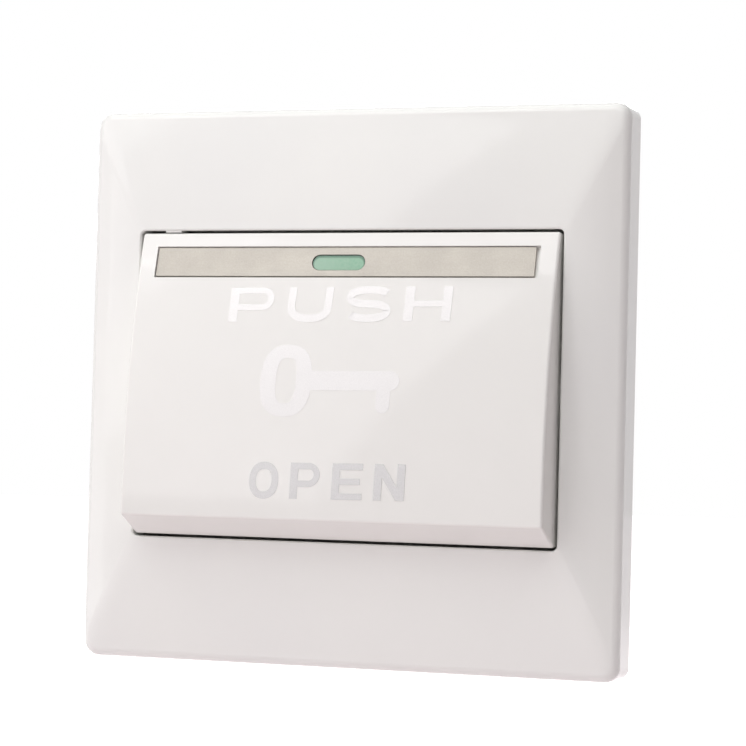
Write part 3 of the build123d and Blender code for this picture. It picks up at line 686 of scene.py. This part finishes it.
RETURN_RADIUS, RETURN_WIRE, RETURN_TURNS = 2.9, 0.3, 6.0
CONTACT_RADIUS, CONTACT_WIRE, CONTACT_TURNS = 1.9, 0.2, 5.0
return_low, return_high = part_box("return_spring")
return_coil = coil(
    "return_coil", RETURN_RADIUS, RETURN_WIRE, RETURN_TURNS,
    return_low.y / MM + RETURN_WIRE, return_high.y / MM - RETURN_WIRE, "base",
)
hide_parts("return_spring")
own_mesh(return_coil)
contact_low, contact_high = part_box("contact_spring")
contact_coil = coil(
    "contact_coil", CONTACT_RADIUS, CONTACT_WIRE, CONTACT_TURNS,
    contact_low.y / MM + CONTACT_WIRE, contact_high.y / MM - CONTACT_WIRE, "plunger",
)
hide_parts("contact_spring")

# Floor and room. Both are white where they are seen directly or in a gloss, and the floor keeps
# the shadow, because its own shade still darkens it.

# Millimetres under the part, and half a side in metres
FLOOR_DROP = 60.0
FLOOR_HALF = 4.0
# The floor's glow rises between these distances in metres, from and to these strengths
GLOW_FROM, GLOW_TO = 0.15, 0.7
GLOW_NEAR, GLOW_FAR = 0.55, 1.0

floor_paper, paper = empty_material("studio_paper_matt")
place = add(paper, "ShaderNodeTexCoord").outputs["Object"]
# Paper mottle, 60 mm across
mottle = add(paper, "ShaderNodeTexNoise", {"Vector": place, "Scale": 1 / (60 * MM), "Detail": 2.0})
tone = add(
    paper, "ShaderNodeMix",
    {"Factor": mottle.outputs["Fac"], "A": linear("#F4EAED"), "B": linear("#F1E7EA")},
    data_type="RGBA",
)
# The glow grows with the way from the object, where the soft boxes reach less
away = add(paper, "ShaderNodeVectorMath", {0: place}, operation="LENGTH")
growth = add(
    paper, "ShaderNodeMapRange",
    {
        "Value": away.outputs["Value"], "From Min": GLOW_FROM, "From Max": GLOW_TO,
        "To Min": GLOW_NEAR, "To Max": GLOW_FAR,
    },
)
glow = add(
    paper, "ShaderNodeMath",
    {0: seen_as_white(paper), 1: growth.outputs["Result"]}, operation="MULTIPLY",
)
matt = add(
    paper, "ShaderNodeBsdfPrincipled",
    {
        "Base Color": tone.outputs["Result"], "Roughness": 0.9,
        "Emission Color": (1, 1, 1, 1), "Emission Strength": glow.outputs["Value"],
    },
)
add(paper, "ShaderNodeOutputMaterial", {"Surface": matt.outputs["BSDF"]})

floor_mesh = bpy.data.meshes.new("floor")
floor_z = cad_low.z - FLOOR_DROP * MM
corners = [(-1, -1), (1, -1), (1, 1), (-1, 1)]
floor_spots = [(FLOOR_HALF * x, FLOOR_HALF * y, floor_z) for x, y in corners]
floor_mesh.from_pydata(floor_spots, [], [(0, 1, 2, 3)])
floor_mesh.materials.append(floor_paper)
floor = bpy.data.objects.new("floor", floor_mesh)
bpy.context.collection.objects.link(floor)

ROOM_STRENGTH = 0.1
world = bpy.data.worlds.new("studio")
bpy.context.scene.world = world
world.use_nodes = True
sky = world.node_tree
sky.nodes.clear()
room = add(sky, "ShaderNodeBackground", {"Color": linear("#F5E6EA"), "Strength": ROOM_STRENGTH})
white = add(sky, "ShaderNodeBackground", {"Color": (1, 1, 1, 1), "Strength": 1.0})
sight = add(
    sky, "ShaderNodeMixShader", {0: seen_as_white(sky), 1: room.outputs[0], 2: white.outputs[0]}
)
add(sky, "ShaderNodeOutputWorld", {"Surface": sight.outputs[0]})

# Soft boxes: name, place and size in metres, power in watts. Each faces the origin.

SOFT_BOXES = [
    ("key_box", (-0.7, -0.6, 0.6), (0.75, 0.7), 1.65),
    ("window_box", (-0.714, -0.836, 0.336), (0.95, 0.7), 2.6),
    ("top_box", (0.0, -0.15, 0.95), (1.3, 0.9), 5.6),
    ("top_front_box", (-0.13, -0.72, 0.78), (1.0, 0.5), 2.95),
    ("front_box", (0.38, -0.78, 0.62), (0.5, 0.5), 0.3),
    ("left_box", (-0.95, -0.3, 0.05), (0.4, 0.8), 0.8),
    ("rear_box", (-0.3, 0.85, 0.3), (0.5, 0.5), 4.1),
]
for name, place, size, power in SOFT_BOXES:
    data = bpy.data.lights.new(name, "AREA")
    data.shape = "RECTANGLE"
    data.size, data.size_y = size
    data.energy = power
    lamp = bpy.data.objects.new(name, data)
    bpy.context.collection.objects.link(lamp)
    lamp.location = place
    lamp.rotation_euler = (-Vector(place)).to_track_quat("-Z", "Y").to_euler()

bpy.context.scene.view_settings.view_transform = "Standard"
